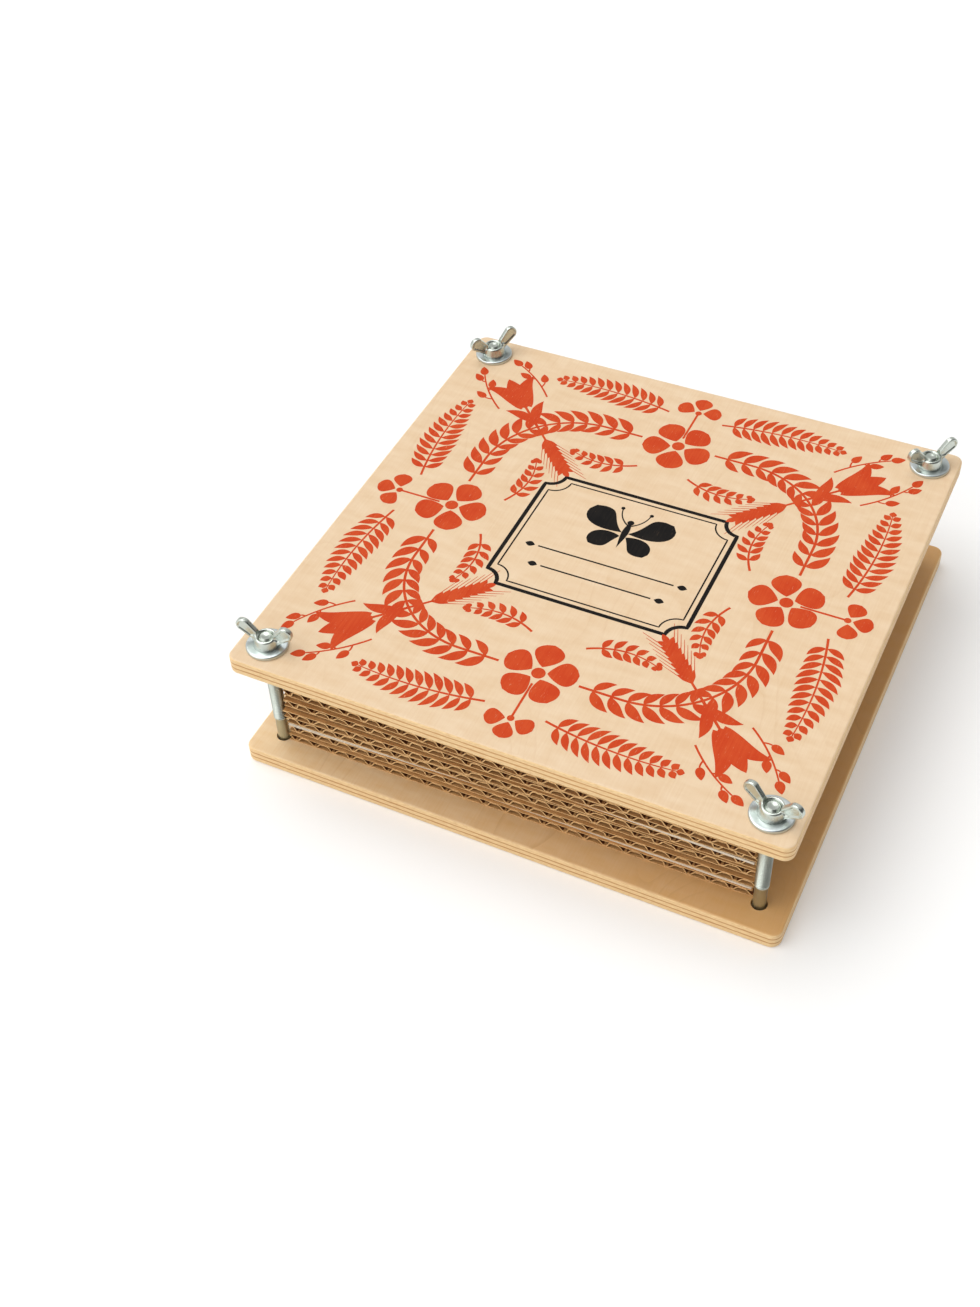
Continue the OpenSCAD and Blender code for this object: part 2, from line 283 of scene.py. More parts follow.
# ---------------- Bolts
# Four M6 carriage bolts of zinc-plated steel: a low dome and a square neck under the
# bottom board, a plain shank, and from a rounded shoulder up a rolled thread, so the
# shank is thinner than the thread. The end is chamfered and a little hollow.
bolt_reach = 0.1074
bolt_places = {"front_left": (-bolt_reach, -bolt_reach), "front_right": (bolt_reach, -bolt_reach),
               "back_left": (-bolt_reach, bolt_reach), "back_right": (bolt_reach, bolt_reach)}
bolt_around, sharp_angle = 40, radians(38)
thread_pitch, rows_per_turn = 0.001, 6
shank_r, thread_r, root_r = 0.00265, 0.00295, 0.00247
thread_from, thread_full, bolt_end, bolt_weld = 0.0200, 0.0209, 0.06946, 2e-6
chamfer_r, head_low, head_r, rim_low, rim_high = 0.00215, 0.0004, 0.0065, 0.0022, 0.0030
neck_half, neck_top, neck_round, shank_sunk = 0.0030, 0.0054, 0.0003, 0.0004
end_hollow = ((0, -0.0003), (0.45, -0.0002), (0.7, 0), (1, 0))
dome_fullness, dome_step, rim_ease = 1.3, 9, 0.0002
groove_shares = (0.0, 0.1, 0.6, 1.0, 0.95, 0.5)
zinc_cloud_mm, zinc_relief = 3.5, (0.05, 0.01)


def off(centre, reach, angle):
    """The point at a distance and an angle in radians from a centre."""
    return centre[0] + reach * cos(angle), centre[1] + reach * sin(angle)


def turned(profile, around, centre, close=False):
    """Points and faces of a form turned on a vertical axis from (radius, height) pairs."""
    points, faces, rings = [], [], []
    for radius, height in profile:
        if radius == 0:
            rings.append([len(points)] * around)
            points.append((centre[0], centre[1], height))
            continue
        rings.append(list(range(len(points), len(points) + around)))
        points += [(*off(centre, radius, 2 * pi * k / around), height)
                   for k in range(around)]
    for low, high in zip(rings, rings[1:] + rings[:1] if close else rings[1:]):
        for k in range(around):
            m = (k + 1) % around
            corners = list(dict.fromkeys((low[k], low[m], high[m], high[k])))
            if len(corners) > 2:
                faces.append(corners)
    return points, faces


def finished(name, parts, material, weld=1e-6):
    """One object from (points, faces) parts, welded, its faces turned outwards."""
    points, faces = [], []
    for part_points, part_faces in parts:
        faces += [[c + len(points) for c in face] for face in part_faces]
        points += [tuple(p) for p in part_points]
    mesh = bpy.data.meshes.new(name)
    mesh.from_pydata(points, [], faces)
    form = bmesh.new()
    form.from_mesh(mesh)
    bmesh.ops.remove_doubles(form, verts=form.verts, dist=weld)
    bmesh.ops.dissolve_degenerate(form, edges=form.edges, dist=weld / 10)
    bmesh.ops.recalc_face_normals(form, faces=form.faces)
    form.to_mesh(mesh)
    form.free()
    mesh.shade_smooth()
    mesh.set_sharp_from_angle(angle=sharp_angle)
    mesh.materials.append(material)
    return put(name, mesh)


def zinc_plate(name, colour, tint, roughness, grit_mm):
    """Bright zinc with a clear blue passivation: nearly white metal, a soft broken sheen.

    The grit of the plating is drawn far coarser than it is, so that it shows.
    """
    material, tree, mm = new_material(name)
    cloud, grit = grain(mm, zinc_cloud_mm), grain(mm, grit_mm)
    metal = add(tree, "Mix", (cloud, colour, tint), data_type="RGBA")
    rough = add(tree, "MapRange", (grit, *usual_noise, *roughness))
    return surfaced(material, {"Base Color": metal, "Metallic": 1.0, "Roughness": rough}, grit,
                    *zinc_relief)


def bolt_radius(height, groove_share):
    """How far the thread stands out at a height, in or beside its groove."""
    risen = min(max((height - thread_from) / (thread_full - thread_from), 0), 1)
    crest = shank_r + (thread_r - shank_r) * sin(risen * pi / 2)
    cut = min(max((height - thread_full) / thread_pitch, 0), 1)
    radius = crest - (thread_r - root_r) * groove_share * cut
    return min(radius, chamfer_r + bolt_end - height)


def bolt_form(centre):
    """The thread, its hollow end, the shank, the domed head and the square neck."""
    points, faces = [], []
    turns = (bolt_end - thread_from) / thread_pitch + 1
    rows = ceil(turns * rows_per_turn) + 1
    for row in range(rows + rows_per_turn + 1):
        for k in range(bolt_around):
            angle = 2 * pi * k / bolt_around
            height = thread_from + thread_pitch * (row / rows_per_turn - 1 + k / bolt_around)
            height = min(max(height, thread_from), bolt_end)
            radius = bolt_radius(height, groove_shares[row % rows_per_turn])
            points.append((*off(centre, radius, angle), height))
    for row in range(rows):
        for k in range(bolt_around):
            here = row * bolt_around + k
            beside = here + 1 if k < bolt_around - 1 else (row + rows_per_turn) * bolt_around
            faces.append((here, beside, beside + bolt_around, here + bolt_around))
    yield points, faces
    yield turned([(chamfer_r * share, bolt_end + rise) for share, rise in end_hollow],
                 bolt_around, centre)
    yield turned([(shank_r, thread_from), (shank_r, neck_top - shank_sunk),
                  (0, neck_top - shank_sunk)], bolt_around, centre)
    dome = [(head_r * sin(a), rim_low - (rim_low - head_low) * cos(a) ** dome_fullness)
            for a in (radians(d) for d in range(0, 91, dome_step))]
    yield turned(dome + [(head_r, rim_high - rim_ease), (head_r - rim_ease, rim_high),
                         (0, rim_high)], bolt_around * 2, centre)
    inner = neck_half - neck_round
    ring = [off((centre[0] + x * inner, centre[1] + y * inner), neck_round,
                radians(start + a))
            for x, y, start in ((1, 1, 0), (-1, 1, 90), (-1, -1, 180), (1, -1, 270))
            for a in (0, 45, 90)]
    count = len(ring)
    neck = [(x, y, z) for z in (rim_high, neck_top) for x, y in ring]
    yield neck, [(k, (k + 1) % count, count + (k + 1) % count, count + k)
                 for k in range(count)] + [tuple(range(count))[::-1],
                                           tuple(range(count, 2 * count))]


rolled_zinc = zinc_plate("zinc-plated steel, rolled", "#cad0c8", "#b9c0b5", (0.28, 0.34), 0.8)
for corner, centre in bolt_places.items():
    bolt = finished("threaded_bolt_" + corner, bolt_form(centre), rolled_zinc, bolt_weld)
    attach(bolt, "base")
    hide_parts("bolt_" + corner)


# ---------------- Washers
# Stamped from steel sheet and zinc plated: the press rolls the upper edge over and
# leaves a small burr round the hole.
washer_low, washer_t, washer_r, hole_r, rolled_r = 0.06346, 0.0016, 0.00875, 0.0032, 0.0006
under_ease, burr_w, burr_h, washer_around = 0.0002, 0.0001, 0.0001, 96
stamped_zinc = zinc_plate("zinc-plated steel, stamped", "#d6dddc", "#cad3d3", (0.28, 0.36), 1.2)
washer_profile = [(hole_r, under_ease), (hole_r + under_ease, 0), (washer_r - under_ease, 0),
                  (washer_r, under_ease), (washer_r, washer_t - rolled_r)]
washer_profile += [off((washer_r - rolled_r, washer_t - rolled_r), rolled_r, radians(a))
                   for a in range(15, 91, 15)]
washer_profile += [(hole_r + 3 * burr_w, washer_t), (hole_r + burr_w, washer_t - burr_h),
                   (hole_r, washer_t - 3 * burr_h)]
for corner, centre in bolt_places.items():
    form = turned([(r, washer_low + z) for r, z in washer_profile], washer_around, centre, True)
    washer = finished("stamped_washer_" + corner, [form], stamped_zinc)
    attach(washer, "washer_" + corner)
    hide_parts("washer_" + corner)


# ---------------- Wing nuts
# Cast, tapped and zinc plated. The hub narrows upwards, and two wings grow out of it
# in soft fillets; a rounded rim stands up round the hollow on each face of a wing.
# The form is a field of distances in millimetres, skinned where it passes zero.
nut_low = 0.06506
nut_turns = {"front_left": 5.1, "front_right": -12.2, "back_left": 55.2, "back_right": 48.7}
hub_base_r, hub_top_r, hub_h, hub_round = 5.5, 4.5, 4.3, 0.6
bore_r, bore_chamfer = 3.03, 0.7
wing_root, wing_root_r, wing_tip, wing_tip_r = (4.2, 3.2), 2.4, (9.2, 7.9), 3.3
wing_half_t, wing_edge_r, hollow_depth, rim_w, fillet = 1.2, 0.55, 0.5, 0.95, 1.1
hollow_from, hollow_slope = 0.35, (-0.25, 0.45)
skin_low, skin_high, skin_step = (-12.9, -6.5, -0.3), (12.9, 6.5, 11.7), 0.2


def tapered_bar(x, z, a, a_r, b, b_r):
    """Distance to the outline round two circles and their tangents."""
    run = hypot(b[0] - a[0], b[1] - a[1])
    ux, uz = (b[0] - a[0]) / run, (b[1] - a[1]) / run
    along = (x - a[0]) * ux + (z - a[1]) * uz
    across = np.abs((z - a[1]) * ux - (x - a[0]) * uz)
    lean = (a_r - b_r) / run
    upright = sqrt(1 - lean * lean)
    t = np.clip((along + across * lean / upright) / run, 0, 1)
    return np.hypot(along - t * run, across) - (a_r + (b_r - a_r) * t)


def nut_field(x, y, z):
    """Distance to the hub and wings, less the bore and all below the hub's foot."""
    x = np.abs(x)
    out = np.hypot(x, y)
    slope = (hub_base_r - hub_top_r) / hub_h
    side = (out - (hub_base_r - slope * z)) / hypot(1, slope)
    top = z - hub_h
    corner = np.hypot(np.maximum(side + hub_round, 0), np.maximum(top + hub_round, 0))
    hub = corner + np.minimum(np.maximum(side + hub_round, top + hub_round), 0) - hub_round
    outline = tapered_bar(x, z, wing_root, wing_root_r, wing_tip, wing_tip_r)
    mid = [r + hollow_from * (t - r) for r, t in zip(wing_root, wing_tip)]
    hollow = tapered_bar(x, z, mid, wing_root_r - rim_w, wing_tip, wing_tip_r - rim_w)
    low, high = hollow_slope
    t = np.clip((-hollow - low) / (high - low), 0, 1)
    half = wing_half_t - hollow_depth * (t * t * (3 - 2 * t))
    face = np.abs(y) - half
    edge = np.hypot(np.maximum(outline + wing_edge_r, 0), np.maximum(face + wing_edge_r, 0))
    wing = edge + np.minimum(np.maximum(outline, face) + wing_edge_r, 0) - wing_edge_r
    near = np.clip(0.5 + 0.5 * (wing - hub) / fillet, 0, 1)
    body = wing * (1 - near) + hub * near - fillet * near * (1 - near)
    wide = np.maximum(bore_chamfer - (hub_h - z), bore_chamfer - z)
    bore = out - (bore_r + np.clip(wide, 0, bore_chamfer))
    return np.maximum(np.maximum(body, -bore), -z)


def skin(field, low, high, step):
    """A closed skin of quads where a field passes zero: one point in each cell it crosses."""
    counts = np.array([ceil((h - l) / step) + 1 for l, h in zip(low, high)])
    value = field(*np.meshgrid(*(l + step * np.arange(n) for l, n in zip(low, counts)),
                               indexing="ij"))
    cells, units = counts - 1, np.eye(3, dtype=int)
    total, hits, crossings = np.zeros((*cells, 3)), np.zeros(cells), []

    def part(grid, first, size):
        """A block of a grid, by its first corner and its size."""
        return grid[tuple(slice(f, f + s) for f, s in zip(first, size))]

    for axis, unit in enumerate(units):
        a, b = (part(value, first, counts - unit) for first in (0 * unit, unit))
        crossed = (a < 0) != (b < 0)
        share = np.where(crossed, a / np.where(crossed, a - b, 1), 0)
        crossings.append((crossed, a < 0))
        for first in np.ndindex(*(2 - unit)):
            cut = part(crossed, first, cells)
            hits += cut
            for n in range(3):
                total[..., n] += cut * (part(share, first, cells) if n == axis else first[n])
    used = hits > 0
    number = np.full(cells, -1)
    number[used] = np.arange(used.sum())
    points = np.array(low) + step * (np.argwhere(used) + total[used] / hits[used][:, None])
    faces = []
    for axis, (crossed, starts_inside) in enumerate(crossings):
        b, c = units[(axis + 1) % 3], units[(axis + 2) % 3]
        at = np.argwhere(crossed)
        at = at[(at @ b > 0) & (at @ c > 0)]
        quad = np.stack([number[tuple((at - db * b - dc * c).T)]
                         for db, dc in ((1, 1), (0, 1), (0, 0), (1, 0))], axis=1)
        outward = starts_inside[tuple(at.T)]
        quad[~outward] = quad[~outward][:, ::-1]
        faces += quad.tolist()
    return points, faces


cast_zinc = zinc_plate("zinc-plated casting", "#d0d6cf", "#c1c8be", (0.26, 0.34), 0.9)
nut_points, nut_faces = skin(nut_field, skin_low, skin_high, skin_step)
for corner, centre in bolt_places.items():
    angle = radians(nut_turns[corner])
    spun = nut_points @ np.array([[cos(angle), sin(angle), 0],
                                  [-sin(angle), cos(angle), 0], [0, 0, 1]])
    placed = spun / 1000 + np.array([centre[0], centre[1], nut_low])
    nut = finished("cast_wing_nut_" + corner, [(placed, nut_faces)], cast_zinc)
    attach(nut, "wing_nut_" + corner)
    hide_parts("wing_nut_" + corner)


# ---------------- Corrugated sheets
# Nine squares of single-wall kraft board, cut to fit between the bolts and stacked by
# hand. Each is grown by geometry nodes: a fluted wall glued between two flat liners,
# with open tunnels from front to back, wandering flutes and roughly cut edges.
card_side, card_t, liner_t, flute_wall, flute_pitch = 0.2074, 0.004, 0.00045, 0.0006, 0.0089
card_low, card_step, stack_front = 0.00801, 0.00543, -0.1071
card_turns = (0.84, 0.825, 1.155, 1.5, 0.9, -0.105, 0.525, 0.9, 0.72)
card_slips_mm = (-0.06, 0.08, -0.10, 0.04, 0.12, -0.04, 0.10, -0.08, 0.02)
card_setbacks_mm = (-0.17, 0.23, 0.69, -0.17, 0.11, -0.53, 0.2, -0.3, 0.1)
flute_phases = (0.21, 0.36, 0.64, 0.39, 0.36, 0.11, 0.3, 0.75, 0.5)
card_crush = (0.10, 0.10, 0.35, 0.30, 0.35, 0.15, 0.15, 0.15, 0.15)
card_seed, flute_wander, flute_lean, cut_rough, washboard = 3.7, 0.0011, 0.0009, 0.0004, 0.00008
wander_reach, dent_reach, lean_reach = (0.026, 0.15), (0.011, 0.05), (0.013, 0.09)
lean_shift, dent_from, dent_full = (0.5, 0, 0), 0.5, 0.68
crest_press, crest_shift = 1.25, 0.32
fray_gap, rim_share, sheet_weld = 0.0013, 0.499, 1e-6
flute_grid, liner_grid = (401, 8), (209, 4)


def group_tree(name, *sockets):
    """A geometry node group, and its inputs from lines of a kind and the names of that kind."""
    group = bpy.data.node_groups.new(name, "GeometryNodeTree")
    for line in sockets:
        kind, *labels = line.split()
        for label in labels:
            group.interface.new_socket(label, in_out="INPUT", socket_type="NodeSocket" + kind)
    group.interface.new_socket("Geometry", in_out="OUTPUT", socket_type="NodeSocketGeometry")
    return group, group.nodes.new("NodeGroupInput").outputs


def closed_sheet(tree, side, counts, offset, thickness):
    """A square grid moved by an offset, then thickened upwards into a closed sheet."""
    moved = add(tree, "GeometryNodeSetPosition", {
        "Geometry": add(tree, "GeometryNodeMeshGrid", (side, side, *counts)),
        "Offset": add(tree, "CombineXYZ", offset)})
    rise = add(tree, "GeometryNodeExtrudeMesh", {
        "Mesh": moved, "Offset Scale": thickness, "Individual": False})
    under = add(tree, "GeometryNodeFlipFaces", {"Mesh": moved})
    both = add(tree, "GeometryNodeJoinGeometry", ([rise, under],))
    return add(tree, "GeometryNodeMergeByDistance", {"Geometry": both, "Distance": sheet_weld})


def ended(tree, form, material):
    """Ends a group with the form in its material."""
    dressed = add(tree, "GeometryNodeSetMaterial", {"Geometry": form, "Material": material})
    add(tree, "NodeGroupOutput", (dressed,))


def lay_down(tree, ins, parts):
    """Joins the parts, turns and places them, and ends the group."""
    laid = add(tree, "GeometryNodeTransform", {
        "Geometry": add(tree, "GeometryNodeJoinGeometry", (parts,)),
        "Translation": ins["Place"], "Rotation": add(tree, "CombineXYZ", {"Z": ins["Turn"]})})
    ended(tree, add(tree, "GeometryNodeRealizeInstances", (laid,)), ins["Material"])


def grown(name, group, inputs, seed=None):
    """Runs a node group once, on a seed mesh or none, and keeps the result as a mesh."""
    piece = put(name, seed or bpy.data.meshes.new(name + " seed"))
    maker = piece.modifiers.new("maker", "NODES")
    maker.node_group = group
    for item in group.interface.items_tree:
        if item.in_out == "INPUT" and item.name in inputs:
            maker[item.identifier] = inputs[item.name]
    ready = piece.evaluated_get(bpy.context.evaluated_depsgraph_get())
    mesh = bpy.data.meshes.new_from_object(ready)
    piece.modifiers.clear()
    piece.data = mesh
    mesh.name = name
    mesh.shade_smooth()
    mesh.set_sharp_from_angle(angle=sharp_angle)
    return piece


def wandering(tree, place, reach, seed, detail=1.0, shift=(0, 0, 0)):
    """A slow noise, its own for each seed; its swells reach so far along X and Y."""
    spot = add(tree, "VectorMath", (place, (1 / reach[0], 1 / reach[1], 0), shift),
               "MULTIPLY_ADD")
    return add(tree, "TexNoise", {"Vector": spot, "W": seed, "Scale": 1.0, "Detail": detail},
               noise_dimensions="4D")


def set_back(tree, place, side, rough, seed):
    """Half the side, and the same with the front and back edges cut ragged by a dull blade."""
    half = add(tree, "Math", (side, 0.5), "MULTIPLY")
    y = add(tree, "SeparateXYZ", (place,)).outputs["Y"]
    pull = add(tree, "TexNoise", {"Vector": place, "W": seed, "Scale": 1 / fray_gap,
                                  "Detail": 1.0}, noise_dimensions="4D")
    rim = add(tree, "Math", (side, rim_share), "MULTIPLY")
    far = add(tree, "Math", (y,), "ABSOLUTE")
    at_edge = add(tree, "Math", (far, rim), "GREATER_THAN")
    inwards = add(tree, "Math", (y,), "SIGN")
    for share in (at_edge, inwards, -rough):
        pull = add(tree, "Math", (pull, share), "MULTIPLY")
    return half, add(tree, "Math", (half, pull), "ADD")


def corrugated_group():
    """One sheet of corrugated board, from its named sizes in metres."""
    tree, ins = group_tree(
        "corrugated sheet", "Float Side Thickness Liner Wall Pitch Phase Crush Seed Turn",
        "Vector Place", "Material Material")
    place = add(tree, "GeometryNodeInputPosition")

    # The web wanders under the flute rollers: the wave's place along X, in pitches
    drift = wandering(tree, place, wander_reach, ins["Seed"])
    drift = add(tree, "Math", (drift, flute_wander * 2, -flute_wander), "MULTIPLY_ADD")
    wave = add(tree, "SeparateXYZ", (place,)).outputs["X"]
    for operation, value in (("ADD", drift), ("DIVIDE", ins["Pitch"]), ("SUBTRACT", ins["Phase"]),
                             ("MULTIPLY", 2 * pi), ("COSINE", 0)):
        wave = add(tree, "Math", (wave, value), operation)

    # Its crests are pressed broad and flat on the upper liner, its valleys stay narrow
    pressed = add(tree, "Math", (wave, crest_press, crest_shift), "MULTIPLY_ADD")
    for operation, value in (("MAXIMUM", -1.0), ("MINIMUM", 1.0), ("MULTIPLY", pi / 2),
                             ("SINE", 0)):
        pressed = add(tree, "Math", (pressed, value), operation)

    # A few flutes are crushed, and all lean a little to one side or the other
    dents = wandering(tree, place, dent_reach, ins["Seed"])
    dents = add(tree, "MapRange", (dents, dent_from, dent_full))
    crushed = add(tree, "Math", (dents, ins["Crush"]), "MULTIPLY")
    kept = add(tree, "Math", (1.0, crushed), "SUBTRACT")
    solid = add(tree, "Math", (ins["Liner"], 2.0, ins["Wall"]), "MULTIPLY_ADD")
    rise = add(tree, "Math", (ins["Thickness"], solid), "SUBTRACT")
    height = add(tree, "Math", (pressed, 0.5, 0.5), "MULTIPLY_ADD")
    for operation, value in (("MULTIPLY", kept), ("MULTIPLY", rise), ("ADD", ins["Liner"])):
        height = add(tree, "Math", (height, value), operation)
    lean = wandering(tree, place, lean_reach, ins["Seed"], 0.0, lean_shift)
    lean = add(tree, "Math", (lean, 2.0, -1.0), "MULTIPLY_ADD")
    lean_most = add(tree, "Math", (pressed, flute_lean), "MULTIPLY")
    lean = add(tree, "Math", (lean, lean_most), "MULTIPLY")
    half, back = set_back(tree, place, ins["Side"], cut_rough, ins["Seed"])
    parts = [closed_sheet(tree, ins["Side"], flute_grid, (lean, back, height), ins["Wall"])]

    # Each liner sinks a little into the hollows between its glue lines
    sunk = add(tree, "Math", (wave, -washboard / 2, washboard / 2), "MULTIPLY_ADD")
    inner = add(tree, "Math", (ins["Thickness"], ins["Liner"]), "SUBTRACT")
    for level in (washboard, inner):
        level = add(tree, "Math", (level, sunk), "SUBTRACT")
        parts.append(closed_sheet(tree, ins["Side"], liner_grid, (0, back, level), ins["Liner"]))
    lay_down(tree, ins, parts)
    return tree


kraft_cloud_mm, strand_mm, kraft_shade = 8, (2.2, 0.35, 0.35), (0.14, 0.38)
fleck_gap_mm, fleck_edge, fleck_share = 2.6, (0.06, 0.13), 0.6
liner_upright, cut_facing, cut_aside = (0.93, 0.99), (0.5, 0.8), (0.92, 0.97)
torn_mm, torn_share, kraft_relief = 0.5, 1.6, (0.4, 0.08)


def kraft_board(name, liner, dark, wall, cut, fleck):
    """Recycled kraft: flat liners of warm brown, painted shade on the walls between, paler where
    cut.
    """
    material, tree, mm = new_material(name)
    cloud, strand = (grain(mm, size, *fibrous) for size in (kraft_cloud_mm, strand_mm))
    shade = add(tree, "Math", (cloud, strand), "MULTIPLY")
    shade = add(tree, "MapRange", (shade, *kraft_shade))
    board = add(tree, "Mix", (shade, dark, liner), data_type="RGBA")
    specks = add(tree, "TexVoronoi", {"Vector": mm, "Scale": 1 / fleck_gap_mm})
    speck = add(tree, "MapRange", (specks, *fleck_edge, fleck_share, 0))
    board = add(tree, "Mix", (speck, board, fleck), data_type="RGBA")

    # Painted shade in the flutes: all that doesn't face straight up takes the dark colour
    way = add(tree, "SeparateXYZ", (add(tree, "NewGeometry").outputs["Normal"],)).outputs
    is_flat = add(tree, "MapRange", (way["Z"], *liner_upright))
    board = add(tree, "Mix", (is_flat, wall, board), data_type="RGBA")

    # The cut edges face the four sides squarely; their torn fibres catch the light
    facing, aside = (
        add(tree, "MapRange", (add(tree, "Math", (way[axis],), "ABSOLUTE"), *limits))
        for axis, limits in (("Y", cut_facing), ("X", cut_aside)))
    is_cut = add(tree, "Math", (facing, aside), "MAXIMUM")
    is_cut = add(tree, "Math", (is_cut, grain(mm, torn_mm)), "MULTIPLY")
    is_cut = add(tree, "Math", (is_cut, torn_share), "MULTIPLY", use_clamp=True)
    board = add(tree, "Mix", (is_cut, board, cut), data_type="RGBA")
    return surfaced(material, {"Base Color": board, "Roughness": 0.88,
                               "Specular IOR Level": 0.25}, strand, *kraft_relief)


# The third colour is painted shade for the flute walls and the undersides of the liners
kraft = kraft_board("brown kraft board", "#e4ad70", "#c78e54", "#6b3815", "#f0c489", "#8a5c2e")
corrugated = corrugated_group()
for n, turn in enumerate(card_turns):
    number = n + 1
    spot = (card_slips_mm[n] / 1000, stack_front + card_setbacks_mm[n] / 1000,
            card_low + n * card_step)
    sheet = grown("corrugated_sheet_%d" % number, corrugated, {
        "Side": card_side, "Thickness": card_t, "Liner": liner_t, "Wall": flute_wall,
        "Pitch": flute_pitch, "Phase": flute_phases[n], "Crush": card_crush[n],
        "Seed": card_seed * number, "Place": spot, "Turn": radians(turn),
        "Material": kraft})
    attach(sheet, "cardboard_%d" % number)
    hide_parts("cardboard_%d" % number)


# ---------------- Blotting papers
# Two soft white sheets lie in each gap between the corrugated sheets. They are cut a
# little smaller, and laid by hand: some show at the front, the others lie further in.
paper_side, paper_slot, paper_t, paper_wave = 0.2060, 0.00071, 0.00056, 0.00012
paper_clear, paper_rough, swell_reach = 0.00003, 0.00012, 0.035
paper_turns = (0.28, 1.4, 0.7, 0.196, 0.77, 0.21, 0.56, 0.42)
paper_slips_mm = (0.06, -0.2, 0.04, -0.06, 0.1, -0.04, 0.08, 0.0)
paper_setbacks_mm = (1.2, 0.9, 3.0, 1.14, 2.61, 2.91, 2.49, 3.0)
paper_skews = (0.0, 0.010, 0.0, -0.006, 0.0, 0.0, 0.0, 0.0)
paper_seed, paper_stagger, paper_grid = 1.9, 0.056, (121, 13)
pulp_mm, pulp_felt, nap_mm, nap_relief = 3, (4.0, 0.65), 0.3, (0.5, 0.06)


def paper_group():
    """One blotting sheet, from its named sizes in metres and the skew of its front edge."""
    tree, ins = group_tree("blotting sheet", "Float Side Thickness Wave Skew Seed Turn",
                           "Vector Place", "Material Material")
    place = add(tree, "GeometryNodeInputPosition")
    swell = add(tree, "TexNoise", {"Vector": place, "W": ins["Seed"], "Scale": 1 / swell_reach,
                                   "Detail": 1.0}, noise_dimensions="4D")
    rise = add(tree, "Math", (swell, ins["Wave"]), "MULTIPLY")
    half, back = set_back(tree, place, ins["Side"], paper_rough, ins["Seed"])

    # Cut by hand: the front edge may run a little out of square, falling back at one end
    spot = add(tree, "SeparateXYZ", (place,)).outputs
    slope = add(tree, "Math", (spot["X"], ins["Skew"]), "MULTIPLY")
    reach = add(tree, "Math", (ins["Skew"], half), "MULTIPLY")
    reach = add(tree, "Math", (reach,), "ABSOLUTE")
    slope = add(tree, "Math", (slope, reach), "ADD")
    front = add(tree, "Math", (spot["Y"], 0.0), "LESS_THAN")
    ahead = add(tree, "Math", (spot["Y"], half), "DIVIDE")
    ahead = add(tree, "Math", (ahead, front), "MULTIPLY")
    skewed = add(tree, "Math", (slope, ahead), "MULTIPLY")
    back = add(tree, "Math", (back, skewed), "SUBTRACT")
    lay_down(tree, ins, [closed_sheet(tree, ins["Side"], paper_grid, (0, back, rise),
                                      ins["Thickness"])])
    return tree


def blotter(name, white, shade):
    """Unsized blotting paper: matt, warm white, a coarse-drawn felty nap and cloudy pulp."""
    material, tree, mm = new_material(name)
    pulp = grain(mm, pulp_mm, *pulp_felt)
    tone = add(tree, "Mix", (pulp, white, shade), data_type="RGBA")
    return surfaced(material, {"Base Color": tone, "Roughness": 0.95,
                               "Specular IOR Level": 0.2}, grain(mm, nap_mm), *nap_relief)


soft_white = blotter("soft white blotting paper", "#f0e6d6", "#decfb9")
blotting = paper_group()
for gap, turn in enumerate(paper_turns):
    for layer in (0, 1):
        number = 2 * gap + layer + 1
        low = card_low + gap * card_step + card_t + layer * paper_slot + paper_clear
        spot = (paper_slips_mm[gap] / 1000, stack_front + paper_setbacks_mm[gap] / 1000, low)
        paper = grown("blotting_sheet_%d" % number, blotting, {
            "Side": paper_side, "Thickness": paper_t, "Wave": paper_wave,
            "Skew": paper_skews[gap], "Seed": paper_seed * number, "Place": spot,
            "Turn": radians(turn - layer * paper_stagger), "Material": soft_white})
        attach(paper, "blotting_paper_%d" % number)
        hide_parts("blotting_paper_%d" % number)


# ---------------- Print
# Two inks pressed on the sanded top board: a square wreath of tulips, blossoms, laurel,
# fern and wheat in coral, round a blank label with a butterfly in black. Every stroke is
# a film of ink, drawn in millimetres; crossing strokes lie a little apart in height.
print_low_mm, print_step_mm, apart_count = 63.44, 0.02, 19
stem_layer, leaf_layer, bloom_layer, bud_layer = 2, 3, 4, 5
arc_steps, dot_steps, film_weld = 14, 12, 2e-7
fern_stalk, leaflet_root, leaflet_bend, leaflet_full, tip_share = (0.55, 0.25), 0.3, 0.09, 0.45, 0.9


def bow(start, end, bend=0.0, steps=arc_steps):
    """Points on a shallow arc; bend is its rise as a share of its length."""
    start, end = np.array(start, float), np.array(end, float)
    t = np.linspace(0, 1, steps + 1)[:, None]
    across = np.array([start[1] - end[1], end[0] - start[0]])
    return start + (end - start) * t + across * bend * 4 * t * (1 - t)


def stroke(spine, half_widths, layer=stem_layer):
    """The left and right edge of a stroke along a line of points."""
    spine = np.array(spine, float)
    way = np.gradient(spine, axis=0)
    way /= np.linalg.norm(way, axis=1)[:, None]
    half = np.interp(np.linspace(0, 1, len(spine)), np.linspace(0, 1, len(half_widths)),
                     half_widths)
    side = np.stack([-way[:, 1], way[:, 0]], axis=1) * half[:, None]
    return spine + side, spine - side, layer


def leaf(start, end, width, bend=0.08, fullest=0.42, blunt=1.0, layer=leaf_layer):
    """A leaf, petal or grain: closed at both ends, widest at a share of its length."""
    spine = bow(start, end, bend)
    t = np.linspace(0, 1, len(spine))
    half = width / 2 * np.sin(pi * t ** (log(0.5) / log(fullest))) ** blunt
    half[[0, -1]] = 0
    return stroke(spine, half, layer)


def dot(centre, radius, layer=bloom_layer):
    """A round dot, as a stroke from its left end to its right end."""
    angle = np.linspace(0, pi, dot_steps + 1)
    x, rise = centre[0] - radius * np.cos(angle), radius * np.sin(angle)
    rise[[0, -1]] = 0
    return np.stack([x, centre[1] + rise], 1), np.stack([x, centre[1] - rise], 1), layer


def ray(centre, first, last, heading, width, **form):
    """A leaf or petal from one distance to another, at a heading in degrees."""
    start, end = (off(centre, reach, radians(heading)) for reach in (first, last))
    return leaf(start, end, width, **form)


